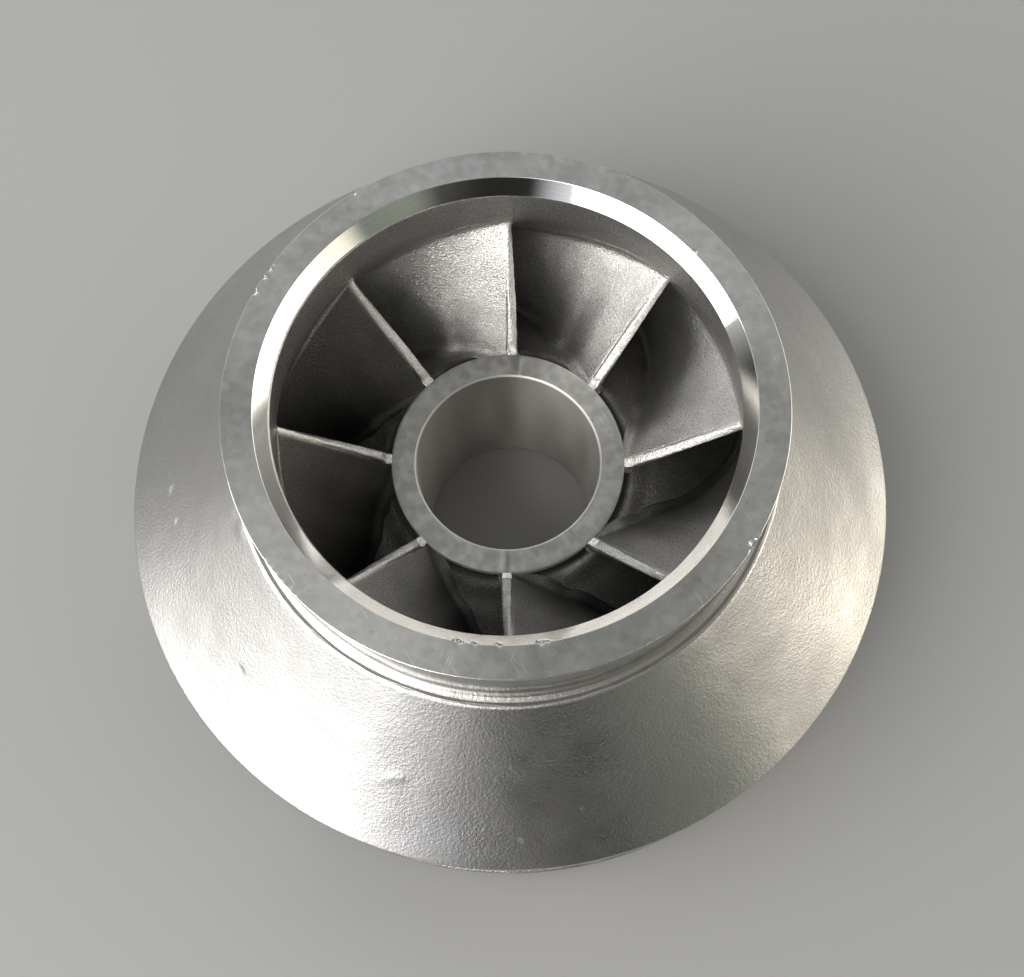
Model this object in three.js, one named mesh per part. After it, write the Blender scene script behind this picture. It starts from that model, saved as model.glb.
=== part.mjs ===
// Closed mixed-flow pump impeller, one stainless steel casting, held here as its named features:
// hub, back shroud, front shroud, eye ring and eight backward-swept vanes.
// Millimetres, +Z up along the shaft axis towards the suction eye, origin on the axis at the hub's lower face.
// +X points to the right of the photograph. Seen from the eye, the vanes run down and counter-clockwise,
// so the wheel turns clockwise.
import * as THREE from 'three';
import { mergeVertices } from 'three/addons/utils/BufferGeometryUtils.js';

// ---------------------------------------------------------------- driving dimensions
const SEG = 72;                 // facets round the axis, nine to each vane pitch
const GAP = 0.3;                // clearance between neighbouring solids
const VANES = 8;

const RIM_R = 106;              // outer radius
const RIM_TOP_Z = 41.9;         // upper edge of the front shroud at the rim
const RIM_LOW_Z = 35.3;         // lower edge of the front shroud at the rim
const OUTLET_LOW_Z = 9.5;       // flow side of the back shroud at the rim
const BACK_LOW_Z = 4.4;         // underside of the back shroud at the rim

const EYE_TOP_Z = 100.2;        // machined face of the eye ring
const EYE_OD_R = 67.8;          // machined running surface of the eye ring
const EYE_EDGE = 0.6;           // broken outer edge of that face
const EYE_FACE_R = 60.1;        // inner edge of the face, where the chamfer starts
const EYE_CHAMFER_R = 57.0;     // lower edge of the inner chamfer
const EYE_CHAMFER_Z = 96.4;
const EYE_THROAT_R = 58.1;      // narrowest cast wall under the chamfer
const EYE_THROAT_Z = 87.0;      // the wall starts to flare here
const WALL_RHO = 27;            // radius of that flare
const LAND_Z = 76.0;            // machined land at the foot of the ring
const LAND_R = 70.1;            // its outer edge
const CONE_SAG = 1.2;           // hollow of the cone between land and rim

const HUB_TOP_Z = 55.75;        // machined nose face of the hub
const HUB_NOSE_R = 31.7;
const BORE_R = 25.0;            // plain shaft bore
const BORE_CHAMFER = 0.5;
const BOSS_R = 38.0;            // boss under the back shroud, and the split between hub and back shroud

const LE_ROOT = { r: 32.6, z: 55.4, deg: -3.6 };  // leading edge where it meets the hub
const LE_TIP_Z = 80.3;                            // and its height at the eye wall
const LE_TIP_DEG = -2.9;
const TRAIL_R = 105.7;          // trailing edges, trimmed with the rim
// Sweep of the vane's foot in degrees from its leading edge, against radius.
const ROOT_SWEEP = [
  [32.6, 0], [34.0, 6.5], [36.0, 13.0], [38.2, 18.0], [41.5, 24.0], [45.7, 29.3], [49.2, 33.0],
  [52.5, 36.8], [57.5, 42.5], [63.0, 48.2], [67.5, 53.0], [75.0, 61.6], [82.0, 70.5], [90.0, 81.5],
  [98.0, 93.3], [106.0, 105.5],
];

// ---------------------------------------------------------------- meridional curves, as [r, z] lists
// Flow side of the hub and back shroud, from the nose down and out to the rim. A small step drops from the turned
// nose to the cast flare.
const HUB_SIDE = [
  [31.74, 55.75], [31.8, 54.2], [33.2, 53.7], [34.5, 52.8], [36.0, 51.3], [38.2, 49.3], [41.5, 46.8],
  [46.0, 43.2], [51.5, 38.9], [57.5, 34.3], [66.0, 28.4], [76.0, 22.3], [88.0, 16.2], [97.0, 12.5],
  [RIM_R, OUTLET_LOW_Z],
];
// Underside of the back shroud, from the fillet at the boss out to the rim.
const BACK_SIDE = [
  [BOSS_R + GAP, 29.6], [39.4, 32.6], [41.2, 34.9], [43.8, 36.2], [46.8, 35.9], [51.0, 32.9], [57.5, 28.2],
  [66.0, 22.5], [76.0, 16.6], [88.0, 10.8], [97.0, 7.4], [RIM_R, BACK_LOW_Z],
];

// Inside of the eye and of the front shroud: a short straight throat, an arc, then a cone to the rim.
function eyeWall(off = 0, fromZ = EYE_THROAT_Z, arcSteps = 7, coneSteps = 4) {
  const cr = EYE_THROAT_R + WALL_RHO, cz = EYE_THROAT_Z, rho = WALL_RHO + off;
  // the arc ends where its tangent passes through the lower rim edge
  let end = 0.6;
  for (let i = 0; i < 60; i++) {
    const r = cr - WALL_RHO * Math.cos(end), z = cz - WALL_RHO * Math.sin(end);
    end += 0.5 * (Math.atan2(RIM_R - r, z - RIM_LOW_Z) - end);
  }
  const start = Math.asin(Math.min(1, (cz - fromZ) / rho));
  const pts = [];
  for (let i = 0; i <= arcSteps; i++) {
    const a = start + (end - start) * i / arcSteps;
    pts.push([cr - rho * Math.cos(a), cz - rho * Math.sin(a)]);
  }
  const [r0, z0] = pts[pts.length - 1];
  const slope = 1 / Math.tan(end);
  const r1 = off ? TRAIL_R : RIM_R;
  for (let i = 1; i <= coneSteps; i++) {
    const r = r0 + (r1 - r0) * i / coneSteps;
    pts.push([r, z0 - (r - r0) * slope]);
  }
  return pts;
}

// Outside of the front shroud, from the land to the rim, slightly hollow.
function coneSide(steps = 6) {
  const pts = [];
  for (let i = 0; i <= steps; i++) {
    const u = i / steps;
    pts.push([LAND_R + (RIM_R - LAND_R) * u,
      LAND_Z + (RIM_TOP_Z - LAND_Z) * u - 4 * CONE_SAG * u * (1 - u)]);
  }
  return pts;
}

// ---------------------------------------------------------------- helpers
function closedGeometry(geometry) {
  geometry.deleteAttribute('normal');
  geometry.deleteAttribute('uv');
  const merged = mergeVertices(geometry, 1e-4);
  // drop triangles that merging closed up
  const ix = merged.index.array, keep = [];
  for (let i = 0; i < ix.length; i += 3) {
    if (ix[i] !== ix[i + 1] && ix[i + 1] !== ix[i + 2] && ix[i] !== ix[i + 2]) keep.push(ix[i], ix[i + 1], ix[i + 2]);
  }
  // face outwards
  const p = merged.attributes.position;
  const a = new THREE.Vector3(), b = new THREE.Vector3(), c = new THREE.Vector3();
  let volume = 0;
  for (let i = 0; i < keep.length; i += 3) {
    a.fromBufferAttribute(p, keep[i]); b.fromBufferAttribute(p, keep[i + 1]); c.fromBufferAttribute(p, keep[i + 2]);
    volume += a.dot(b.cross(c)) / 6;
  }
  if (volume < 0) for (let i = 0; i < keep.length; i += 3) [keep[i], keep[i + 1]] = [keep[i + 1], keep[i]];
  merged.setIndex(keep);
  merged.computeVertexNormals();
  return merged;
}

// A ring-shaped solid from a closed list of [r, z] points.
function revolve(points) {
  const ring = points.concat([points[0]]).map(([r, z]) => new THREE.Vector2(r, z));
  const lathe = new THREE.LatheGeometry(ring, SEG);
  lathe.rotateX(Math.PI / 2);
  return closedGeometry(lathe);
}

function piece(name, geometry, material) {
  const mesh = new THREE.Mesh(geometry, material);
  mesh.name = name;
  return mesh;
}

// Even steps by length along an [r, z] list, after shifting it sideways by off.
function resample(points, count, power = 1) {
  const curve = new THREE.Path(points.map(([r, z]) => new THREE.Vector2(r, z)));
  const total = curve.getLength();
  return Array.from({ length: count + 1 }, (_, i) => {
    const p = curve.getPointAt(Math.pow(i / count, power));
    return [p.x, p.y, total * Math.pow(i / count, power)];
  });
}

// ---------------------------------------------------------------- materials
const cast = new THREE.MeshStandardMaterial({ color: 0x9a9791, roughness: 0.5, metalness: 0.9 });
const turned = new THREE.MeshStandardMaterial({ color: 0xb4b1aa, roughness: 0.3, metalness: 1.0 });

// ---------------------------------------------------------------- revolved solids
const flowLow = HUB_SIDE.filter(([r]) => r < BOSS_R - 0.2);
const hub = revolve([
  [BORE_R, BORE_CHAMFER], [BORE_R + BORE_CHAMFER, 0], [BOSS_R - 0.6, 0], [BOSS_R, 0.6], [BOSS_R, 49.4],
  ...flowLow.slice().reverse(),
  [BORE_R + BORE_CHAMFER, HUB_TOP_Z], [BORE_R, HUB_TOP_Z - BORE_CHAMFER],
]);

const backShroud = revolve([
  ...BACK_SIDE,
  ...HUB_SIDE.filter(([r]) => r > BOSS_R + 1).slice().reverse(),
  [BOSS_R + GAP, 49.1],
]);

const wall = eyeWall(0, LAND_Z);
const frontShroud = revolve([...wall, ...coneSide().reverse()]);

const ringWall = eyeWall(0, EYE_THROAT_Z, 16, 1).filter(([r, z]) => z > LAND_Z + GAP + 0.4);
const footTheta = Math.asin((EYE_THROAT_Z - LAND_Z - GAP * 1) / WALL_RHO);
const footR = EYE_THROAT_R + WALL_RHO * (1 - Math.cos(footTheta));
const eyeRing = revolve([
  [EYE_FACE_R, EYE_TOP_Z], [EYE_CHAMFER_R, EYE_CHAMFER_Z], [57.5, 92.0],
  ...ringWall,
  [footR, LAND_Z + GAP], [EYE_OD_R, LAND_Z + GAP],
  [EYE_OD_R, EYE_TOP_Z - EYE_EDGE], [EYE_OD_R - EYE_EDGE, EYE_TOP_Z],
]);

// ---------------------------------------------------------------- vanes
const S = 24, T = 5;
const rootLine = (() => {
  // flow side of the hub, lifted by the gap, from the foot of the leading edge to the trailing edge
  const pts = [[LE_ROOT.r, LE_ROOT.z]];
  for (let i = 3; i < HUB_SIDE.length; i++) {
    const a = HUB_SIDE[i - 1], b = HUB_SIDE[Math.min(HUB_SIDE.length - 1, i + 1)];
    const dr = b[0] - a[0], dz = b[1] - a[1], l = Math.hypot(dr, dz);
    pts.push([HUB_SIDE[i][0] - dz / l * (GAP + 0.12), HUB_SIDE[i][1] + dr / l * (GAP + 0.12)]);
  }
  pts[pts.length - 1] = [TRAIL_R, OUTLET_LOW_Z + GAP + 0.25];
  return resample(pts, S, 1.15);
})();
const tipLine = resample(eyeWall(GAP + 0.12, LE_TIP_Z, 14, 4), S, 1.15);

// Smooth reading of a table of [x, y] rows.
function read(table, x) {
  const n = table.length - 1;
  let i = 0;
  while (i < n - 1 && x > table[i + 1][0]) i++;
  const slope = (k) => (k <= 0 ? (table[1][1] - table[0][1]) / (table[1][0] - table[0][0])
    : k >= n ? (table[n][1] - table[n - 1][1]) / (table[n][0] - table[n - 1][0])
      : (table[k + 1][1] - table[k - 1][1]) / (table[k + 1][0] - table[k - 1][0]));
  const [x0, y0] = table[i], [x1, y1] = table[i + 1], h = x1 - x0, t = (x - x0) / h;
  const t2 = t * t, t3 = t2 * t;
  return (2 * t3 - 3 * t2 + 1) * y0 + (t3 - 2 * t2 + t) * h * slope(i)
    + (-2 * t3 + 3 * t2) * y1 + (t3 - t2) * h * slope(i + 1);
}

const rad = THREE.MathUtils.degToRad;
const rootAngle = rootLine.map(([r]) => rad(LE_ROOT.deg + read(ROOT_SWEEP, r)));
// At the eye wall the vane starts flat, 16 degrees from the tangent, and steepens outwards.
const tipAngle = (() => {
  const out = [rad(LE_TIP_DEG)];
  for (let i = 1; i < tipLine.length; i++) {
    const dm = tipLine[i][2] - tipLine[i - 1][2], r = (tipLine[i][0] + tipLine[i - 1][0]) / 2;
    const u = (tipLine[i][2] + tipLine[i - 1][2]) / 2 / tipLine[S][2];
    const beta = 16 + 14 * THREE.MathUtils.smoothstep(u, 0, 0.45);
    out.push(out[i - 1] + dm / (r * Math.tan(rad(beta))));
  }
  return out;
})();

// Thickness square to the vane: a thin nose, a thicker middle, a thinner trailing edge.
function thickness(u, t) {
  const nose = Math.min(1, u / 0.07);
  const body = 1.0 + (2.9 + 0.5 * (1 - t)) * Math.sqrt(1 - (1 - nose) * (1 - nose));
  return body - 0.9 * Math.max(0, (u - 0.6) / 0.4);
}

function vaneGeometry(turn) {
  const camber = [];
  for (let i = 0; i <= S; i++) {
    camber.push([]);
    for (let j = 0; j <= T; j++) {
      const t = j / T;
      camber[i].push({
        r: rootLine[i][0] * (1 - t) + tipLine[i][0] * t,
        z: rootLine[i][1] * (1 - t) + tipLine[i][1] * t,
        a: rootAngle[i] * (1 - t) + tipAngle[i] * t + turn,
      });
    }
  }
  const at = (c, da = 0) => new THREE.Vector3(c.r * Math.cos(c.a + da), c.r * Math.sin(c.a + da), c.z);
  const sides = [[], []];
  for (let i = 0; i <= S; i++) {
    for (let j = 0; j <= T; j++) {
      const c = camber[i][j];
      const along = at(camber[Math.min(S, i + 1)][j]).sub(at(camber[Math.max(0, i - 1)][j]));
      const across = at(camber[i][Math.min(T, j + 1)]).sub(at(camber[i][Math.max(0, j - 1)]));
      const normal = along.cross(across).normalize();
      const tangent = new THREE.Vector3(-Math.sin(c.a), Math.cos(c.a), 0);
      const lean = Math.max(0.3, Math.abs(normal.dot(tangent)));
      const u = tipLine[i][2] / tipLine[S][2];
      const half = thickness(u, j / T) / 2 / lean / c.r;
      sides[0].push(at(c, -half));
      sides[1].push(at(c, half));
    }
  }
  const n = (S + 1) * (T + 1), index = [];
  const id = (side, i, j) => side * n + i * (T + 1) + j;
  const quad = (a, b, c, d) => index.push(a, b, c, a, c, d);
  for (let i = 0; i < S; i++) {
    for (let j = 0; j < T; j++) {
      quad(id(0, i, j), id(0, i + 1, j), id(0, i + 1, j + 1), id(0, i, j + 1));
      quad(id(1, i, j), id(1, i, j + 1), id(1, i + 1, j + 1), id(1, i + 1, j));
    }
    quad(id(0, i, 0), id(1, i, 0), id(1, i + 1, 0), id(0, i + 1, 0));
    quad(id(0, i, T), id(0, i + 1, T), id(1, i + 1, T), id(1, i, T));
  }
  for (let j = 0; j < T; j++) {
    quad(id(0, 0, j), id(0, 0, j + 1), id(1, 0, j + 1), id(1, 0, j));
    quad(id(0, S, j), id(1, S, j), id(1, S, j + 1), id(0, S, j + 1));
  }
  const geometry = new THREE.BufferGeometry();
  geometry.setAttribute('position', new THREE.Float32BufferAttribute([...sides[0], ...sides[1]].flatMap((v) => v.toArray()), 3));
  geometry.setIndex(index);
  return closedGeometry(geometry);
}

// ---------------------------------------------------------------- assembly
const impeller = new THREE.Group();
impeller.name = 'pump_impeller';
impeller.add(
  piece('hub', hub, turned),
  piece('back_shroud', backShroud, cast),
  piece('front_shroud', frontShroud, cast),
  piece('eye_ring', eyeRing, turned),
);
for (let k = 0; k < VANES; k++) {
  impeller.add(piece(`vane_${k + 1}`, vaneGeometry(k * 2 * Math.PI / VANES), cast));
}

export default impeller;
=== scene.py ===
"""Closed pump impeller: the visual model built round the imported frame. Lengths in the tables are millimetres,
Blender's are metres. The casting is drawn as cast skin (shrouds, flare, vanes) and machined faces (eye ring, hub)."""

import math

import bpy
import numpy as np
from mathutils import Matrix, Vector


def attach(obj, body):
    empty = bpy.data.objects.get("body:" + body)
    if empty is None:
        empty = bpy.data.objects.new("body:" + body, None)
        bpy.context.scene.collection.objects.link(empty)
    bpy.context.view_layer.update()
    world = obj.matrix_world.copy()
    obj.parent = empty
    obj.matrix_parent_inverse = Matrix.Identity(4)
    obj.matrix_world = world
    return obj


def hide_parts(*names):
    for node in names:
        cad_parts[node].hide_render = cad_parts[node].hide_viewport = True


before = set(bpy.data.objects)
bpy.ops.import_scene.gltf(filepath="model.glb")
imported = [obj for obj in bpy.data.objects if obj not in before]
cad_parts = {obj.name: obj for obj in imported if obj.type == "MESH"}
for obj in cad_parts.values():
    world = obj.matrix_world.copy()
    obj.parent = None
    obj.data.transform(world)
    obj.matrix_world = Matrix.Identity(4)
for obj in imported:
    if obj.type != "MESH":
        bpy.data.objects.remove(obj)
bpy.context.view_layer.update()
SCENE = bpy.context.scene
VANES = 8

# ------------------------------------------------------------------ camera, at the photograph's angle
CAM_AXES = [(0.99908179, -0.04049179, -0.0139998), (0.04284366, 0.9442379, 0.32646471), (0.0, -0.32676475, 0.94510571)]
camera = bpy.data.cameras.new("camera")
camera.sensor_fit = "HORIZONTAL"
camera.sensor_width = 36.0
camera.lens = 1194.8 / 1024 * 36
camera.clip_start = 0.01
camera.dof.use_dof = False
cam = bpy.data.objects.new("camera", camera)
SCENE.collection.objects.link(cam)
place = Matrix.Identity(4)
for i in range(3):
    for j in range(3):
        place[j][i] = CAM_AXES[i][j]
place.translation = Vector((0.00729105, -1.07106923, 3.4017897)) * 0.106
cam.matrix_world = place
SCENE.camera = cam


# ------------------------------------------------------------------ seeded noise in space, millimetres
def _hash(ix, iy, iz, seed):
    h = (ix * 73856093) ^ (iy * 19349663) ^ (iz * 83492791) ^ (seed * 40503 + 977)
    h &= 0xFFFFFFFF
    h = ((h ^ (h >> 13)) * 1274126177) & 0xFFFFFFFF
    h ^= h >> 16
    return h / 2147483647.5 - 1.0


def noise(p, size, seed):
    q = np.asarray(p) / size + 1000.0
    i = np.floor(q).astype(np.int64)
    f = q - i
    w = f * f * f * (f * (f * 6 - 15) + 10)
    out = np.zeros(len(q))
    for a in (0, 1):
        wx = w[:, 0] if a else 1 - w[:, 0]
        for b in (0, 1):
            wy = w[:, 1] if b else 1 - w[:, 1]
            for c in (0, 1):
                wz = w[:, 2] if c else 1 - w[:, 2]
                out += wx * wy * wz * _hash(i[:, 0] + a, i[:, 1] + b, i[:, 2] + c, seed)
    return out


def cast_shift(p, fine=1.0):
    """Slow unevenness of the cast skin, the same for every piece at the same place, so that joints stay closed."""
    out = np.zeros_like(p)
    for size, amount, seed in ((34, 0.26, 3), (13, 0.075, 7), (5.6, 0.026, 11)):
        for k in range(3):
            out[:, k] += amount * noise(p, size, seed + 31 * k)
    if fine:
        for k in range(3):
            out[:, k] += 0.012 * fine * noise(p, 2.4, 17 + 31 * k)
    # the rims are turned to size, so it dies out towards them
    keep = np.clip((106.0 - np.hypot(p[:, 0], p[:, 1])) / 6.0, 0.06, 1.0)
    return out * keep[:, None]


def inside_rim(v, limit=106.0):
    """Points beyond the turned rim are brought back to it."""
    r = np.hypot(v[:, 0], v[:, 1])
    k = np.where(r > limit, limit / np.maximum(r, 1e-6), 1.0)
    v[:, 0] *= k
    v[:, 1] *= k
    return v


# ------------------------------------------------------------------ profiles, [r, z] in millimetres
RIM_R, RIM_TOP, RIM_LOW, OUT_LOW, BACK_LOW = 106.0, 41.9, 35.3, 9.5, 4.4
THROAT_R, THROAT_Z, RHO = 58.1, 87.0, 27.0
CORE_X = 0.55          # the cast core stands a little off the turned faces

HUB_SIDE = [
    (31.2, 54.2), (31.75, 53.35), (32.6, 53.0), (33.5, 53.0), (34.6, 52.5), (36.0, 51.3), (38.2, 49.3), (41.5, 46.8), (46.0, 43.2),
    (51.5, 38.9), (57.5, 34.3), (66.0, 28.4), (76.0, 22.3), (88.0, 16.2), (97.0, 12.5), (106.0, 9.5),
]
BACK_SIDE = [
    (38.1, 27.6), (38.6, 30.2), (39.6, 32.8), (41.4, 35.0), (43.8, 36.1), (46.8, 35.8), (51.0, 32.9), (57.5, 28.2),
    (66.0, 22.5), (76.0, 16.6), (88.0, 10.8), (97.0, 7.4), (106.0, 4.4),
]


def smooth_line(points, step):
    """A Catmull-Rom curve through the points, in even steps."""
    p = np.array(points, float)
    ext = np.vstack([2 * p[0] - p[1], p, 2 * p[-1] - p[-2]])
    out = []
    for i in range(1, len(ext) - 2):
        a, b, c, d = ext[i - 1:i + 3]
        t = np.linspace(0, 1, 24, endpoint=False)[:, None]
        out.append(0.5 * (2 * b + (c - a) * t + (2 * a - 5 * b + 4 * c - d) * t ** 2 + (3 * b - a - 3 * c + d) * t ** 3))
    out.append(ext[-2][None])
    return even(np.vstack(out), step)


def even(p, step):
    p = np.asarray(p, float)
    length = np.r_[0, np.cumsum(np.hypot(*np.diff(p, axis=0).T))]
    n = max(1, int(round(length[-1] / step)))
    s = np.linspace(0, length[-1], n + 1)
    return np.c_[np.interp(s, length, p[:, 0]), np.interp(s, length, p[:, 1])]


def eye_wall(from_z=THROAT_Z, step=1.0):
    """Inside of the eye and front shroud: an arc from the throat, then a cone to the lower rim edge."""
    cr, end = THROAT_R + RHO, 0.6
    for _ in range(60):
        r, z = cr - RHO * math.cos(end), THROAT_Z - RHO * math.sin(end)
        end += 0.5 * (math.atan2(RIM_R - r, z - RIM_LOW) - end)
    start = math.asin(min(1.0, (THROAT_Z - from_z) / RHO))
    a = np.linspace(start, end, 60)
    arc = np.c_[cr - RHO * np.cos(a), THROAT_Z - RHO * np.sin(a)]
    return even(np.vstack([arc, [[RIM_R, RIM_LOW]]]), step)


def round_corners(points, radii, steps=4):
    """Closed [r, z] polygon with its corners rounded."""
    p = [np.array(q, float) for q in points]
    n, out = len(p), []
    for i in range(n):
        a, b, c = p[i - 1], p[i], p[(i + 1) % n]
        rad = radii[i]
        if not rad:
            out.append(b)
            continue
        u, v = (a - b) / np.linalg.norm(a - b), (c - b) / np.linalg.norm(c - b)
        out.append(b + u * rad * 1.7)
        for t in np.linspace(0, 1, steps + 1):
            out.append((1 - t) ** 2 * (b + u * rad) + 2 * t * (1 - t) * b + t ** 2 * (b + v * rad))
        out.append(b + v * rad * 1.7)
    return out


def fill(points, longest):
    """Adds points on the longer steps of a closed outline; longest is a length, or a rule that gives one at a place."""
    out = []
    for i, a in enumerate(points):
        b = points[(i + 1) % len(points)]
        a, b = np.array(a, float), np.array(b, float)
        step = longest((a + b) / 2) if callable(longest) else longest
        n = max(1, int(math.ceil(np.linalg.norm(b - a) / step)))
        out += [a + (b - a) * k / n for k in range(n)]
    return out


# ------------------------------------------------------------------ mesh making
def add_object(name, verts_mm, faces, material, attributes=None, node=None, second=None):
    mesh = bpy.data.meshes.new(name)
    mesh.from_pydata((np.asarray(verts_mm) * 0.001).tolist(), [], faces)
    mesh.validate(clean_customdata=False)
    for key, values in (attributes or {}).items():
        layer = mesh.attributes.new(key, "FLOAT", "POINT")
        layer.data.foreach_set("value", np.asarray(values, np.float32))
    mesh.shade_smooth()
    mesh.materials.append(material)
    if second:
        mesh.materials.append(second[0])
        mesh.polygons.foreach_set("material_index", np.asarray(second[1], np.int32))
    obj = bpy.data.objects.new(name, mesh)
    SCENE.collection.objects.link(obj)
    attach(obj, "root")
    if node:
        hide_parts(node)
    return obj


def ring_grid(profile, segments, centre_x=0.0):
    """Vertices and quads of a closed outline turned round the axis, faces outward. segments is a count or the angles."""
    prof = np.array(profile, float)
    m = len(prof)
    ang = np.arange(segments) * 2 * math.pi / segments if isinstance(segments, int) else np.asarray(segments)
    segments = len(ang)
    cx = np.broadcast_to(np.asarray(centre_x, float), (m,))
    x = prof[None, :, 0] * np.cos(ang)[:, None] + cx[None]
    y = prof[None, :, 0] * np.sin(ang)[:, None]
    z = np.broadcast_to(prof[None, :, 1], x.shape)
    verts = np.stack([x, y, z], -1).reshape(-1, 3)
    i = np.arange(segments)[:, None]
    j = np.arange(m)[None]
    i2, j2 = (i + 1) % segments, (j + 1) % m
    quads = np.stack(np.broadcast_arrays(i * m + j, i * m + j2, i2 * m + j2, i2 * m + j), -1).reshape(-1, 4)
    area = np.sum(prof[:, 0] * np.roll(prof[:, 1], -1) - np.roll(prof[:, 0], -1) * prof[:, 1])
    if area > 0:
        quads = quads[:, ::-1]
    return verts, quads.tolist()


def bump_at(p, centre, size, amount, direction):
    """A soft dent or lump: moves points near centre by amount along direction."""
    d = np.linalg.norm((p - np.array(centre)) / np.array(size), axis=1)
    w = np.clip(1 - d, 0, 1) ** 2 * (1 + 2 * np.clip(d, 0, 1))
    p += w[:, None] * amount * np.array(direction)
    return p


# ------------------------------------------------------------------ materials
def new_material(name):
    mat = bpy.data.materials.new(name)
    mat.use_nodes = True
    nt = mat.node_tree
    bsdf = nt.nodes["Principled BSDF"]
    return mat, nt, bsdf


class Net:
    """Short hand for building a node network."""

    def __init__(self, nt):
        self.nt = nt
        self.coord = nt.nodes.new("ShaderNodeTexCoord")

    def link(self, a, b):
        self.nt.links.new(a, b)

    def put(self, socket, value):
        if isinstance(value, bpy.types.NodeSocket):
            self.link(value, socket)
        else:
            socket.default_value = value

    def position(self, scale=(1, 1, 1), turn=(0, 0, 0)):
        m = self.nt.nodes.new("ShaderNodeMapping")
        m.inputs["Scale"].default_value = scale
        m.inputs["Rotation"].default_value = turn
        self.link(self.coord.outputs["Object"], m.inputs["Vector"])
        return m.outputs["Vector"]

    def noise(self, vector, scale, detail=3.0, rough=0.55, distort=0.0, lac=2.0):
        n = self.nt.nodes.new("ShaderNodeTexNoise")
        n.inputs["Scale"].default_value = scale
        n.inputs["Detail"].default_value = detail
        n.inputs["Roughness"].default_value = rough
        n.inputs["Lacunarity"].default_value = lac
        n.inputs["Distortion"].default_value = distort
        self.link(vector, n.inputs["Vector"])
        return n.outputs["Fac"]

    def voronoi(self, vector, scale, feature="F1", random=1.0):
        n = self.nt.nodes.new("ShaderNodeTexVoronoi")
        n.feature = feature
        n.inputs["Scale"].default_value = scale
        n.inputs["Randomness"].default_value = random
        self.link(vector, n.inputs["Vector"])
        return n.outputs["Distance"]

    def ramp(self, value, a, b, lo=0.0, hi=1.0, smooth=True):
        n = self.nt.nodes.new("ShaderNodeMapRange")
        n.interpolation_type = "SMOOTHSTEP" if smooth else "LINEAR"
        n.inputs["From Min"].default_value = a
        n.inputs["From Max"].default_value = b
        n.inputs["To Min"].default_value = lo
        n.inputs["To Max"].default_value = hi
        self.link(value, n.inputs["Value"])
        return n.outputs["Result"]

    def math(self, op, a, b=0.0, clamp=False):
        n = self.nt.nodes.new("ShaderNodeMath")
        n.operation = op
        n.use_clamp = clamp
        self.put(n.inputs[0], a)
        self.put(n.inputs[1], b)
        return n.outputs[0]

    def mix(self, fac, a, b, blend="MIX"):
        n = self.nt.nodes.new("ShaderNodeMix")
        n.data_type = "RGBA"
        n.blend_type = blend
        self.put(n.inputs["Factor"], fac)
        self.put(n.inputs["A"], a)
        self.put(n.inputs["B"], b)
        return n.outputs["Result"]

    def attribute(self, name):
        n = self.nt.nodes.new("ShaderNodeAttribute")
        n.attribute_name = name
        return n.outputs["Fac"]

    def bump(self, height, strength, distance, normal=None):
        n = self.nt.nodes.new("ShaderNodeBump")
        n.inputs["Strength"].default_value = strength
        n.inputs["Distance"].default_value = distance
        self.link(height, n.inputs["Height"])
        if normal is not None:
            self.link(normal, n.inputs["Normal"])
        return n.outputs["Normal"]

    def polar(self, centre=(0.0, 0.0)):
        """Radius, angle and height about the shaft axis."""
        sep = self.nt.nodes.new("ShaderNodeSeparateXYZ")
        self.link(self.coord.outputs["Object"], sep.inputs["Vector"])
        x, y, z = sep.outputs
        rr = self.math("SQRT", self.math("ADD", self.math("MULTIPLY", x, x), self.math("MULTIPLY", y, y)))
        return rr, self.math("ARCTAN2", y, x), z

    def vector(self, x, y, z):
        n = self.nt.nodes.new("ShaderNodeCombineXYZ")
        self.put(n.inputs[0], x)
        self.put(n.inputs[1], y)
        self.put(n.inputs[2], z)
        return n.outputs["Vector"]


def line_noise(net, vector_x, scale, detail=1.0):
    n = net.nt.nodes.new("ShaderNodeTexNoise")
    n.noise_dimensions = "1D"
    n.inputs["Scale"].default_value = scale
    n.inputs["Detail"].default_value = detail
    n.inputs["Roughness"].default_value = 0.65
    net.link(vector_x, n.inputs["W"])
    return n.outputs["Fac"]


def scratches(net, turn, scale, stretch, keep):
    """Sparse thin straight lines in one direction, as a 0..1 mask."""
    m = net.nt.nodes.new("ShaderNodeMapping")
    m.vector_type = "TEXTURE"                      # turned first, then stretched
    m.inputs["Scale"].default_value = (1 / scale, stretch / scale, stretch / scale)
    m.inputs["Rotation"].default_value = (0, 0, turn)
    net.link(net.coord.outputs["Object"], m.inputs["Vector"])
    return net.ramp(net.noise(m.outputs["Vector"], 1.0, 0.0), keep, keep + 0.035)


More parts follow.
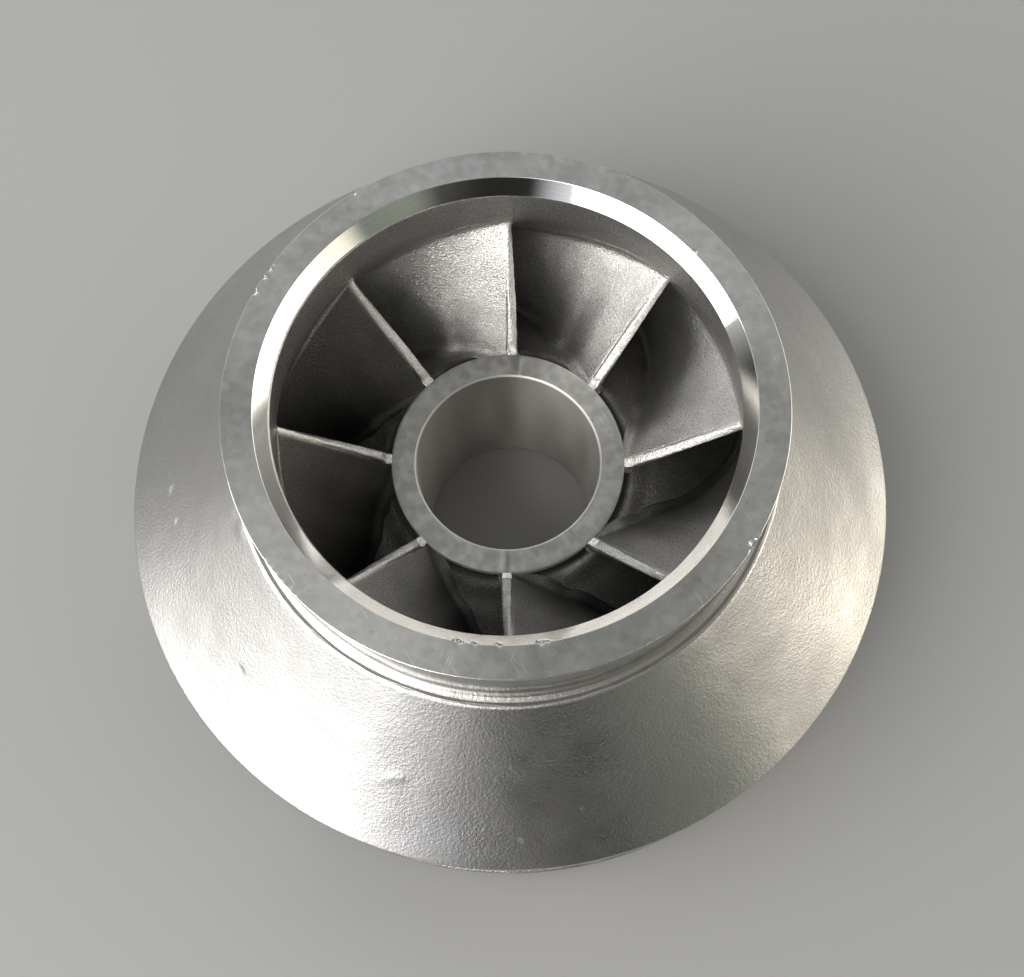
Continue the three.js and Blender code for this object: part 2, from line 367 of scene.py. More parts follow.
def cast_material(name, base, dark, rough_lo, rough_hi, grain, grain_amt, speck=0.4, grit=0.2):
    """Cast and blasted skin: orange-peel grains under a millimetre across, flecks and slow changes of tone.
    The slow parts (tone, peel, grime, wear) are point attributes of the mesh; the grime holds dirt and painted shade."""
    mat, nt, bsdf = new_material(name)
    net = Net(nt)
    p = net.position()
    tone, peel, grime_and_shade, wear = (net.attribute(k) for k in ("tone", "peel", "grime_and_shade", "wear"))
    fine = net.noise(p, grain, 1.6, 0.85, 0.0, 2.1)
    normal = net.bump(net.math("MULTIPLY", fine, peel), 1.0, grain_amt)
    colour = net.mix(tone, dark, base)
    small = net.noise(p, 2500.0, 0.0)
    colour = net.mix(net.math("MULTIPLY", net.ramp(small, 0.76, 0.82), speck), colour, (0.92, 0.91, 0.89, 1))
    colour = net.mix(net.math("MULTIPLY", net.ramp(small, 0.24, 0.18), speck), colour, (0.10, 0.10, 0.095, 1))
    colour = net.mix(net.math("MULTIPLY", net.ramp(net.noise(p, 3100.0, 0.0), 0.58, 0.36), grit), colour, (0.16, 0.153, 0.142, 1))
    ragged = net.math("MULTIPLY", wear, net.ramp(small, 0.30, 0.62, 0.35, 1.15))
    colour = net.mix(ragged, colour, (0.93, 0.92, 0.89, 1))
    grime_and_shade = net.math("MULTIPLY", grime_and_shade, net.math("SUBTRACT", 1.0, net.math("MULTIPLY", wear, 0.9), True))
    # the grime darkens towards near black: dirt, and painted shade in corners, deep passages and under the nose
    colour = net.mix(grime_and_shade, colour, (0.022, 0.021, 0.019, 1))
    rough = net.ramp(tone, 0.0, 1.0, rough_hi, rough_lo, False)
    rough = net.math("ADD", rough, net.math("MULTIPLY", grime_and_shade, 0.10))
    rough = net.math("SUBTRACT", rough, net.math("MULTIPLY", net.ramp(small, 0.66, 0.76), 0.22 * speck))
    net.link(colour, bsdf.inputs["Base Color"])
    net.link(rough, bsdf.inputs["Roughness"])
    net.link(normal, bsdf.inputs["Normal"])
    bsdf.inputs["Metallic"].default_value = 1.0
    return mat


def turned_material(name, base, dark, rough_face, rough_wall, lathe_amt, scratch=0.5, stain=0.3, wall=(0.86, 0.85, 0.82, 1)):
    """Lathe-turned stainless: fine rings, clouded patches and hairline scratches on the flat face, bright polish on
    the walls. The face, cloud, scuff and grime values are point attributes of the mesh."""
    mat, nt, bsdf = new_material(name)
    net = Net(nt)
    rr, ang, z = net.polar()
    p = net.position()
    face, cloud, scuff, grime_and_shade = (net.attribute(k) for k in ("face", "cloud", "scuff", "grime_and_shade"))
    along = net.math("ADD", net.math("MULTIPLY", rr, 1.0), net.math("MULTIPLY", z, 1.37))
    marks = line_noise(net, along, 3000.0, 1.0)
    fine = net.noise(p, 1900.0, 0.0)
    lines = scratches(net, 0.52, 2600.0, 20.0, 0.755)
    lines = net.math("MAXIMUM", lines, scratches(net, -0.45, 2800.0, 14.0, 0.79))
    lines = net.math("MULTIPLY", lines, scuff)
    marks = net.math("MULTIPLY", marks, net.math("ADD", net.math("MULTIPLY", face, 0.6), 0.2))
    height = net.math("ADD", marks, net.math("MULTIPLY", net.math("MULTIPLY", fine, face), 0.4))
    normal = net.bump(height, 1.0, lathe_amt)
    blotch = net.noise(p, 300.0, 1.0, 0.6)
    mottle = net.math("MULTIPLY", net.math("ADD", cloud, net.math("MULTIPLY", net.ramp(blotch, 0.36, 0.70), 0.25)), 0.80, True)
    colour = net.mix(mottle, dark, base)
    polish = net.mix(net.math("MULTIPLY", net.ramp(line_noise(net, along, 1700.0, 2.0), 0.42, 0.62), 0.16), wall, (0.42, 0.415, 0.40, 1))
    colour = net.mix(net.math("SUBTRACT", 1.0, face), colour, polish)
    colour = net.mix(net.math("MULTIPLY", lines, scratch), colour, (0.90, 0.90, 0.88, 1))
    spots = net.math("MULTIPLY", net.ramp(net.noise(p, 800.0, 0.0), 0.76, 0.83), face)
    colour = net.mix(net.math("MULTIPLY", spots, stain), colour, (0.20, 0.19, 0.17, 1))
    # the grime darkens towards near black: dirt, and painted shade where it is set in corners and recesses
    colour = net.mix(grime_and_shade, colour, (0.04, 0.04, 0.038, 1))
    rough = net.ramp(mottle, 0.0, 1.0, rough_face[0], rough_face[1], False)
    rough = net.math("ADD", net.math("MULTIPLY", rough, face), net.math("MULTIPLY", net.math("SUBTRACT", 1.0, face), rough_wall))
    rough = net.math("ADD", rough, net.math("MULTIPLY", lines, 0.1))
    # the lathe rings scatter light across themselves, which gives the bright sectors of a turned face
    ring = nt.nodes.new("ShaderNodeTangent")
    ring.direction_type = "RADIAL"
    ring.axis = "Z"
    net.link(ring.outputs["Tangent"], bsdf.inputs["Tangent"])
    bsdf.inputs["Anisotropic"].default_value = 0.8
    bsdf.inputs["Anisotropic Rotation"].default_value = 0.25
    net.link(colour, bsdf.inputs["Base Color"])
    net.link(rough, bsdf.inputs["Roughness"])
    net.link(normal, bsdf.inputs["Normal"])
    bsdf.inputs["Metallic"].default_value = 1.0
    return mat


CAST_OUT = cast_material("cast_skin_outside", (0.525, 0.518, 0.506, 1), (0.43, 0.424, 0.412, 1), 0.27, 0.35,
                         1200.0, 0.000098, speck=0.12, grit=0.10)
CAST_IN = cast_material("cast_skin_inside", (0.85, 0.838, 0.82, 1), (0.67, 0.656, 0.637, 1), 0.31, 0.38, 2000.0, 0.00030,
                        speck=0.6, grit=0.42)
TURNED = turned_material("turned_faces", (0.59, 0.585, 0.565, 1), (0.275, 0.272, 0.26, 1), (0.36, 0.29), 0.07, 0.000004,
                         scratch=0.4)
TURNED_HUB = turned_material("turned_hub", (0.73, 0.722, 0.695, 1), (0.215, 0.213, 0.203, 1), (0.38, 0.32), 0.50, 0.000005,
                             scratch=0.3, stain=0.3, wall=(0.86, 0.83, 0.78, 1))


def tone_at(v, seed=0):
    t = 0.5 + 0.34 * noise(v, 21.0, 201 + seed) + 0.26 * noise(v, 8.0, 203 + seed) + 0.2 * noise(v, 3.4, 207 + seed)
    return np.clip(t, 0, 1)


def peel_at(v):
    return np.clip(0.95 + 0.35 * noise(v, 26.0, 221) + 0.2 * noise(v, 10.0, 223), 0.4, 1.2)


SCARS = [((-92.3, -3.8, 53.7), 1.0), ((-91.9, -2.6, 53.9), 0.8), ((-90.1, -12.9, 54.9), 1.0), ((-62.4, -64.0, 55.6), 0.8),
         ((-0.9, -99.0, 47.7), 0.7), ((14.6, -92.5, 53.0), 0.9), ((19.0, -96.5, 49.5), 0.8)]


# dirt and painted shade in each passage, by the vane on its clockwise side, and round the shaft axis for the hub's
# flare; set by the photograph's tones, so the darker passages hold painted shade as well as dirt; one value of about
# 0.4 for all would be neutral
DIRT_AND_SHADE = [0.05, 0.20, 0.0, 0.88, 0.93, 0.68, 0.68, 0.40]
FLARE_DIRT_AND_SHADE = ([0, 45, 90, 132, 150, 175, 200, 222, 245, 267, 300, 312, 335, 360], [0.30, 0.36, 0.50, 0.35, 0.33, 0.42, 0.48, 0.42, 0.32, 0.30, 0.32, 0.28, 0.24, 0.30])


def cast_attributes(v, depth_from=None, wear=None, grime_and_shade=None, dirt_and_shade=None):
    out = {"tone": tone_at(v), "peel": peel_at(v),
           "wear": np.zeros(len(v)) if wear is None else wear,
           "grime_and_shade": np.zeros(len(v)) if grime_and_shade is None else grime_and_shade}
    if depth_from is not None:
        # painted shade: the inside of the passages is darker the deeper it lies; side brings each passage's dirt and
        # painted shade, and the term near radius 32.5 paints shade into the corner under the hub's nose
        d = np.clip((depth_from - v[:, 2]) / 26.0, 0, 1)
        r = np.hypot(v[:, 0], v[:, 1])
        side = np.interp(np.degrees(np.arctan2(v[:, 1], v[:, 0])) % 360, *FLARE_DIRT_AND_SHADE) if dirt_and_shade is None else dirt_and_shade
        foot = 0.44 * np.exp(-(np.maximum(r - 32.5, 0) / 5.0) ** 2) * (1 + 0.35 * noise(v, 4.0, 235))
        clean = (1 - out["grime_and_shade"]) * (1 - side) * (1 - 0.14 * d * d * (3 - 2 * d)) * (1 - foot * np.clip((54.5 - v[:, 2]) / 2.0, 0, 1))
        clean *= 1 + 0.10 * noise(v, 14.0, 231) + 0.10 * noise(v, 5.0, 233)
        out["grime_and_shade"] = np.clip(1 - clean, 0, 0.97)
    # small bright scars
    for centre, reach in SCARS:
        d = np.linalg.norm((v - np.array(centre)), axis=1) / reach
        out["wear"] = np.maximum(out["wear"], np.clip(1.6 * (1 - d * d), 0, 1))
    return out


def turned_attributes(v, faces, seed, grime_and_shade=None):
    """face is 1 on level surfaces, from the mesh's own normals."""
    f = np.array(faces)
    n = np.cross(v[f[:, 1]] - v[f[:, 0]], v[f[:, 2]] - v[f[:, 0]]) + np.cross(v[f[:, 2]] - v[f[:, 0]], v[f[:, 3]] - v[f[:, 0]])
    acc = np.zeros_like(v)
    for k in range(4):
        np.add.at(acc, f[:, k], n)
    acc /= np.maximum(np.linalg.norm(acc, axis=1, keepdims=True), 1e-9)
    face = np.clip((np.abs(acc[:, 2]) - 0.93) / 0.05, 0, 1)
    cloud = np.clip(0.45 + 0.42 * noise(v, 19.0, seed) + 0.22 * noise(v, 6.5, seed + 1) + 0.2 * noise(v, 1.8, seed + 2), 0, 1)
    a = np.arctan2(v[:, 1], v[:, 0])
    scuff = np.clip(0.25 + 0.9 * noise(v, 9.0, seed + 5) + 0.5 * np.cos(a + 1.0), 0, 1) * face
    return {"face": face, "cloud": cloud, "scuff": scuff, "grime_and_shade": np.zeros(len(v)) if grime_and_shade is None else grime_and_shade}


# ------------------------------------------------------------------ front shroud: cast cone, rim and inner wall
def front_shroud():
    cone = []
    for u in np.linspace(0, 1, 70):
        cone.append((70.1 + (RIM_R - 70.1) * u, 76.0 + (RIM_TOP - 76.0) * u - 4.8 * u * (1 - u)))
    cone = even(cone, 0.85)
    wall = np.vstack([eye_wall(THROAT_Z, 1.0)[:44], even(eye_wall(THROAT_Z, 1.0)[44:], 2.0)])
    upper = even([(57.25, 96.3), (57.5, 94.0), (57.75, 91.0), (58.0, 88.2), (58.1, 87.0)], 1.15)
    outline = []
    outline += [tuple(q) for q in upper[:-1]] + [tuple(q) for q in wall[:-1]]
    # rim: face with softened edges
    outline += [(105.2, 35.85), (105.75, 35.6), (106.0, 36.0), (106.0, 37.2), (106.0, 39.0), (106.0, 40.6),
                (106.0, 41.45), (106.0, 41.7), (105.94, 41.92), (105.78, 42.07), (105.6, 42.23)]
    back = [tuple(q) for q in cone[::-1][1:]]
    outline += back
    outline += [(69.5, 76.6), (68.9, 77.2), (66.8, 77.3), (64.0, 79.5), (62.2, 84.0), (61.4, 90.0), (60.2, 95.2), (58.4, 96.2)]
    prof = np.array(outline)
    seg = 680
    # the inner wall stands a little off the turned faces; the outside does not
    inner = np.clip((np.interp(np.arange(len(prof)), [0, len(upper) + len(wall) - 4, len(upper) + len(wall) + 4, len(prof)], [1, 1, 0, 0])), 0, 1)
    verts, quads = ring_grid(prof, seg, CORE_X * inner)
    r = np.hypot(verts[:, 0], verts[:, 1])
    shift = cast_shift(verts)
    # the mouth under the chamfer is turned to size, so it hardly wanders
    mouth = np.clip((96.3 - verts[:, 2]) / 5.0, 0.12, 1) * (r < 62) + (r >= 62)
    verts += shift * mouth[:, None]
    # the land at the foot of the ring is cut level through the cast skin
    near = (r > 67.5) & (r < 74) & (verts[:, 2] > 71)
    verts[:, 2] = np.where(near, np.minimum(verts[:, 2], 75.98), verts[:, 2])
    for centre, size, amount in LUMPS:
        c = np.array(centre)
        out = np.array([c[0], c[1], np.hypot(c[0], c[1]) * 1.05])
        verts = bump_at(verts, c, size, amount, out / np.linalg.norm(out))
    # the faces of the passages' side take the inner skin
    index = np.tile(np.r_[np.ones(len(upper) + len(wall) - 2), np.zeros(len(prof) - len(upper) - len(wall) + 2)], seg)
    return inside_rim(verts), quads, index


# lumps and pits of the cast cone: place, reach and height
LUMPS = [
    ((-68.6, -23.2, 74.9), (3.8, 3.8, 2.8), 0.16), ((-70.5, -17.5, 73.6), (3.2, 3.2, 2.6), 0.08),
    ((-70.9, -54.6, 56.4), (1.5, 1.5, 1.5), -0.35), ((-60.0, 66.0, 57.5), (2.4, 2.4, 2.4), 0.25),
    ((-31.5, -83.1, 56.9), (2.2, 2.2, 2.2), 0.16), ((-29.6, -83.2, 57.2), (2.0, 2.0, 2.0), 0.15),
    ((-33.6, -83.3, 56.3), (2.0, 2.0, 2.0), 0.13), ((-35.6, -83.9, 55.4), (1.8, 1.8, 1.8), 0.1),
]

verts, quads, index = front_shroud()
values = cast_attributes(verts)
inner = np.zeros(len(verts), bool)
inner[:] = index > 0.5
values["peel"] *= 1 - 0.4 * np.exp(-(np.linalg.norm(verts - np.array((16.0, -78.0, 66.2)), axis=1) / 7.0) ** 2)
# painted shade: the inner skin grows darker towards the bottom of the eye
values["grime_and_shade"] = np.where(inner, np.clip(0.12 + 0.25 * np.clip((79 - verts[:, 2]) / 34, 0, 1), 0, 1), 0.0)
add_object("front_shroud_cast", verts, quads, CAST_OUT, values, node="front_shroud", second=(CAST_IN, index))


# ------------------------------------------------------------------ eye ring: turned face, chamfer, running surface, land
# nicks along the edges of the turned face: place round the axis in degrees, radius, height, reach, depth
NICKS = [
    (-35.3, 67.75, 99.9, 1.35, 0.75), (-33.4, 67.9, 99.9, 1.0, -0.22), (-36.9, 67.6, 100.2, 1.0, 0.22),
    (-145.6, 67.6, 100.1, 0.8, 0.14), (-143.9, 67.5, 100.1, 0.7, 0.12), (-142.2, 67.6, 100.1, 0.9, 0.16), (-140.3, 67.5, 100.1, 0.7, 0.12),
    (-138.4, 67.6, 100.1, 0.8, 0.14), (-136.2, 67.6, 100.1, 0.6, 0.10),
    (153.3, 67.7, 100.0, 0.95, 0.42), (149.4, 67.7, 100.0, 0.85, 0.36), (147.2, 67.7, 100.0, 0.8, 0.36), (145.9, 67.7, 100.0, 0.6, 0.2),
    (122.2, 67.7, 100.0, 0.8, 0.34), (-101.9, 60.1, 100.0, 0.95, 0.3), (-98.6, 60.1, 100.0, 0.7, 0.2), (-93.5, 60.1, 100.0, 0.75, 0.24),
    (-84.5, 60.1, 100.0, 1.0, 0.32), (-83.2, 60.1, 100.0, 0.7, 0.2), (36.8, 60.2, 100.0, 0.85, 0.4), (-64.0, 67.8, 100.0, 0.6, 0.2),
]


def eye_ring():
    outline = [
        (57.0, 96.35), (60.1, 100.2), (67.2, 100.2), (67.8, 99.55), (67.8, 76.45),
        (67.83, 76.25), (67.95, 76.1), (68.15, 76.04), (69.75, 76.0),
        (69.6, 75.2), (67.0, 74.8), (65.0, 76.0), (62.6, 84.0), (60.6, 92.0), (57.75, 95.3),
    ]
    outline[2:4] = [(67.65, 100.2), (67.8, 100.05)]
    radii = [0.12, 0.10, 0.07, 0.07, 0, 0, 0, 0, 0.2, 0, 0, 0, 0, 0, 0.15]

    def step(q):
        hidden = q[1] < 75.9 or (q[0] < 67 and q[1] < 95.8)
        return 3.5 if hidden else 1.5 if q[1] < 97.5 and q[0] > 67.5 else 0.62

    prof = fill(round_corners(outline, radii, 3), step)
    angles = [np.arange(500) * 2 * math.pi / 500]
    for deg, _, _, reach, _ in NICKS:
        half = math.degrees((reach + 0.3) / 64.0)
        angles.append(np.radians(np.arange(deg - half, deg + half, 0.15)) % (2 * math.pi))
    ang = np.unique(np.round(np.concatenate(angles), 5))
    ang = ang[np.r_[True, np.diff(ang) > 0.0008]]
    verts, quads = ring_grid(prof, ang)
    r = np.hypot(verts[:, 0], verts[:, 1])
    a = np.arctan2(verts[:, 1], verts[:, 0])
    # the land's outer boundary wanders where the tool ran out into the cast skin
    w = np.clip((r - 69.0) / 0.6, 0, 1) * 0.5
    wander = 0.35 * noise(np.c_[70 * np.cos(a), 70 * np.sin(a), 0 * a], 9.0, 91) + 0.2 * noise(np.c_[70 * np.cos(a), 70 * np.sin(a), 0 * a], 3.0, 92)
    verts[:, 0] += w * wander * np.cos(a)
    verts[:, 1] += w * wander * np.sin(a)
    chipped = np.zeros(len(verts))
    for deg, rad, z, reach, depth in NICKS:
        c, sn = math.cos(math.radians(deg)), math.sin(math.radians(deg))
        side = -1.0 if rad > 64 else 1.0
        centre = np.array((rad * c, rad * sn, z))
        d = np.linalg.norm(verts - centre, axis=1) / reach
        rag = 1 + 0.35 * noise(verts, 0.5, 97)
        w = np.clip(1 - d * rag, 0, 1) ** 0.8
        verts += (w * depth)[:, None] * np.array((side * c, side * sn, -0.75))
        chipped = np.maximum(chipped, np.clip(2.2 * (1 - d * rag), 0, 1))
    verts[:, 2] = np.minimum(verts[:, 2], 100.2)
    return verts, quads, chipped


verts, quads, chipped = eye_ring()
r = np.hypot(verts[:, 0], verts[:, 1])
# painted shade: a dark line in the corner at the foot of the running surface; the land and the running surface are also
# a little darker all over
corner = 0.9 * np.clip(1 - np.abs(r - 67.95) / 0.35, 0, 1) * (verts[:, 2] < 76.9)
land = 0.4 * ((r > 67.9) & (verts[:, 2] < 76.6))
outer = 0.22 * ((r > 67.7) & (r < 67.9) & (verts[:, 2] < 99.9))
values = turned_attributes(verts, quads, 301, np.maximum(np.maximum(corner, land), outer))
values["cloud"] = np.clip((0.45 + 0.7 * (values["cloud"] - 0.45)) * (0.35 + 0.65 * values["face"]) + 0.35 * chipped, 0, 1)
add_object("eye_ring_turned", verts, quads, TURNED, values, node="eye_ring")


# ------------------------------------------------------------------ hub: turned nose, bore and boss
def hub():
    outline = [
        (25.0, 0.5), (25.5, 0.0), (37.4, 0.0), (38.0, 0.6), (38.0, 31.0), (36.5, 42.0), (33.4, 50.5), (31.6, 52.8),
        (31.7, 54.0), (31.7, 55.62), (31.57, 55.75), (25.5, 55.75), (25.0, 55.25),
    ]
    radii = [0.1, 0.1, 0.12, 0.12, 0, 0, 0, 0, 0, 0, 0, 0.1, 0.1]
    prof = fill(round_corners(outline, radii), lambda q: 0.7 if q[1] > 55 else 2.5)
    return ring_grid(prof, 540)


verts, quads = hub()
values = turned_attributes(verts, quads, 331)
turned = np.degrees(np.arctan2(verts[:, 1], verts[:, 0]))
bore = (np.hypot(verts[:, 0], verts[:, 1]) < 25.3) & (verts[:, 2] < 55.3)
# the bore wall is a little darker all over, with random tone
values["grime_and_shade"] = np.where(bore, np.clip(0.38 + 0.14 * noise(verts * (1, 1, 0.2), 6.0, 141), 0, 1), 0.0)
values["cloud"] = np.clip(0.16 + 0.3 * values["cloud"], 0, 1)
# painted reflection: lighter and darker radial streaks on the turned face near 80 to 84 and -92 to -96 degrees
for deg, wide, much in ((84, 2.2, -0.3), (80.5, 0.9, 0.3), (-95.5, 1.6, 0.3), (-92.3, 1.2, -0.3)):
    off = (turned - deg + 180) % 360 - 180
    values["cloud"] = np.clip(values["cloud"] + much * np.exp(-(off / wide) ** 2), 0, 1)
add_object("hub_turned", verts, quads, TURNED_HUB, values, node="hub")


# ------------------------------------------------------------------ back shroud with the hub's cast flare
def back_shroud():
    top = smooth_line(HUB_SIDE, 0.95)
    under = smooth_line(BACK_SIDE, 1.25)
    outline = [tuple(q) for q in top[:-1]]
    outline += [(105.3, 9.62), (105.8, 9.45), (106.0, 9.0), (106.0, 7.6), (106.0, 6.0), (105.95, 5.1), (105.7, 4.6), (105.2, 4.6)]
    outline += [tuple(q) for q in under[::-1][1:]]
    outline += [(36.5, 28.2), (33.5, 33.0), (31.5, 42.0), (30.4, 50.0), (30.6, 54.0)]
    prof = np.array(outline)
    shift = np.interp(np.arange(len(prof)), [0, len(top) - 12, len(top) + 2, len(prof)], [CORE_X, CORE_X * 0.5, 0, 0])
    verts, quads = ring_grid(prof, 540, shift)
    r = np.hypot(verts[:, 0], verts[:, 1])
    # painted shade in the corner under the nose, reaching further out in patches
    wide = 1.6 * (1 + noise(verts, 5.0, 131)) + 0.5 * noise(verts, 1.6, 133)
    grime_and_shade = np.clip(1 - (r - 33.0) / (0.5 + np.maximum(wide, 0.0)), 0, 1) * (verts[:, 2] > 45) * 0.92
    verts += cast_shift(verts)
    return inside_rim(verts), quads, grime_and_shade


verts, quads, grime_and_shade = back_shroud()
add_object("back_shroud_cast", verts, quads, CAST_IN, cast_attributes(verts, 52.0, None, grime_and_shade), node="back_shroud")


# ------------------------------------------------------------------ vanes
FOOT = [
    (31.1, 55.5), (31.3, 54.8), (31.8, 53.9), (32.8, 53.2), (34.5, 52.5), (36.0, 51.3), (38.2, 49.3), (41.5, 46.8),
    (46.0, 43.2), (51.5, 38.9), (57.5, 34.3), (66.0, 28.4), (76.0, 22.3), (88.0, 16.2), (97.0, 12.5), (105.75, 9.55),
]
ROOT_SWEEP = [
    (31.2, 0.0), (32.2, 0.4), (33.0, 3.0), (34.0, 6.5), (35.0, 10.0), (36.0, 13.2), (38.2, 18.0), (40.3, 21.6),
    (41.5, 24.0), (43.3, 26.8), (45.7, 29.5), (49.2, 33.1), (52.5, 36.9), (57.5, 42.5), (63.0, 48.3), (67.5, 53.0),
    (75.0, 61.6), (82.0, 70.5), (90.0, 81.5), (98.0, 93.3), (105.75, 105.1),
]
LE_DEG = (-3.6, -2.9)


def monotone(xs, ys, x):
    """Smooth monotone reading of a table (Fritsch-Carlson)."""
    xs, ys = np.array(xs, float), np.array(ys, float)
    h = np.diff(xs)
    d = np.diff(ys) / h
    m = np.r_[d[0], (d[:-1] + d[1:]) / 2, d[-1]]
    for i in range(1, len(m) - 1):
        if d[i - 1] * d[i] <= 0:
            m[i] = 0
        else:
            w1, w2 = 2 * h[i] + h[i - 1], h[i] + 2 * h[i - 1]
            m[i] = (w1 + w2) / (w1 / d[i - 1] + w2 / d[i])
    k = np.clip(np.searchsorted(xs, x) - 1, 0, len(h) - 1)
    t = (x - xs[k]) / h[k]
    return ((2 * t ** 3 - 3 * t ** 2 + 1) * ys[k] + (t ** 3 - 2 * t ** 2 + t) * h[k] * m[k]
            + (-2 * t ** 3 + 3 * t ** 2) * ys[k + 1] + (t ** 3 - t ** 2) * h[k] * m[k + 1])


class Line:
    """A flow line on a surface of revolution, read by length m along its profile."""

    def __init__(self, profile):
        self.p = np.asarray(profile, float)
        self.m = np.r_[0, np.cumsum(np.hypot(*np.diff(self.p, axis=0).T))]
        self.total = self.m[-1]

    def rz(self, m):
        m = np.asarray(m, float)
        out = np.stack([np.interp(m, self.m, self.p[:, 0]), np.interp(m, self.m, self.p[:, 1])], -1)
        d = (self.p[2] - self.p[0]) / np.linalg.norm(self.p[2] - self.p[0])
        out += np.where(m < 0, m, 0)[..., None] * d
        return out

    def slope(self, m):
        m = np.minimum(np.asarray(m, float), self.total - 0.5)
        a, b = self.rz(m + 0.4), self.rz(m - 0.4)
        d = a - b
        return d / np.linalg.norm(d, axis=-1, keepdims=True)


ROOT = Line(smooth_line(FOOT, 0.25))
TIP = Line(eye_wall(80.3, 0.25))
_m = np.linspace(0, ROOT.total, 900)
ROOT_M, ROOT_A = _m, np.radians(LE_DEG[0] + monotone(*zip(*ROOT_SWEEP), np.clip(ROOT.rz(_m)[:, 0], 31.2, 105.75)))
_m = np.linspace(0, TIP.total, 900)
_u = (_m[1:] + _m[:-1]) / 2 / TIP.total
_t = np.clip(_u / 0.45, 0, 1)
_beta = np.radians(16 + 14 * _t * _t * (3 - 2 * _t))
_r = TIP.rz((_m[1:] + _m[:-1]) / 2)[:, 0]
TIP_M, TIP_A = _m, np.radians(LE_DEG[1]) + np.r_[0, np.cumsum(np.diff(_m) / (_r * np.tan(_beta)))]


def half_thickness(s, at_tip):
    """Half the thickness at length s from the leading edge."""
    nose = 1.15 if at_tip else 1.35
    body = 1.95 if at_tip else 2.2
    return nose + (body - nose) * (1 - np.exp(-np.maximum(s, 0) / 9.0)) - 0.5 * np.clip((s - 60) / 45, 0, 1)


def camber_length(line, table_m, table_a):
    r = line.rz((table_m[1:] + table_m[:-1]) / 2)[:, 0]
    ds = np.hypot(np.diff(table_m), r * np.diff(table_a))
    return np.r_[0, np.cumsum(ds)], table_m


def side_points(line, table_m, table_a, at_tip, n_side, n_nose):
    """(m, angle, s) along the closed outline. Index 0 is at the trailing edge on the clockwise side."""
    s_tab, m_tab = camber_length(line, table_m, table_a)
    total = s_tab[-1]
    h0 = half_thickness(0.0, at_tip)
    depth = h0 * 0.85
    # stations, closer together towards the nose
    u = np.linspace(0, 1, n_side)
    s = depth + (total - depth) * u ** 1.5
    pts = []
    for side in (-1, 1):
        m = np.interp(s, s_tab, m_tab)
        a = np.interp(m, table_m, table_a)
        r = line.rz(m)[:, 0]
        e = 0.5
        m1, m0 = np.minimum(m + e, line.total), np.maximum(m - e, 0)
        dm = m1 - m0
        dt = r * (np.interp(m1, table_m, table_a) - np.interp(m0, table_m, table_a))
        norm = np.hypot(dm, dt)
        h = half_thickness(s, at_tip)
        pts.append((m - side * h * dt / norm, a + side * h * dm / norm / r, s))
    # nose: a blunt rounded end
    nose = []
    ph = np.linspace(-math.pi / 2, math.pi / 2, n_nose + 2)[1:-1]
    m = np.interp(depth, s_tab, m_tab)
    a = np.interp(m, table_m, table_a)
    r = float(line.rz(np.array([m]))[0, 0])
    mm = np.interp(0.2, s_tab, m_tab), np.interp(depth + 1.0, s_tab, m_tab)
    dm = mm[1] - mm[0]
    dt = r * (np.interp(mm[1], table_m, table_a) - np.interp(mm[0], table_m, table_a))
    n = math.hypot(dm, dt)
    dm, dt = dm / n, dt / n
    for q in ph:
        c, d = math.cos(q), math.sin(q)
        fwd = -depth * abs(c) ** 0.62            # a blunt flat front with rounded corners
        off = h0 * math.copysign(abs(d) ** 0.72, d)
        nose.append((m + fwd * dm - off * dt, a + (fwd * dt + off * dm) / r, depth * (1 - abs(c))))
    left = np.stack(pts[0], -1)[::-1]
    right = np.stack(pts[1], -1)
    return np.vstack([left, np.array(nose), right])


def xyz(r, z, a):
    return np.stack([r * np.cos(a), r * np.sin(a), z], -1)


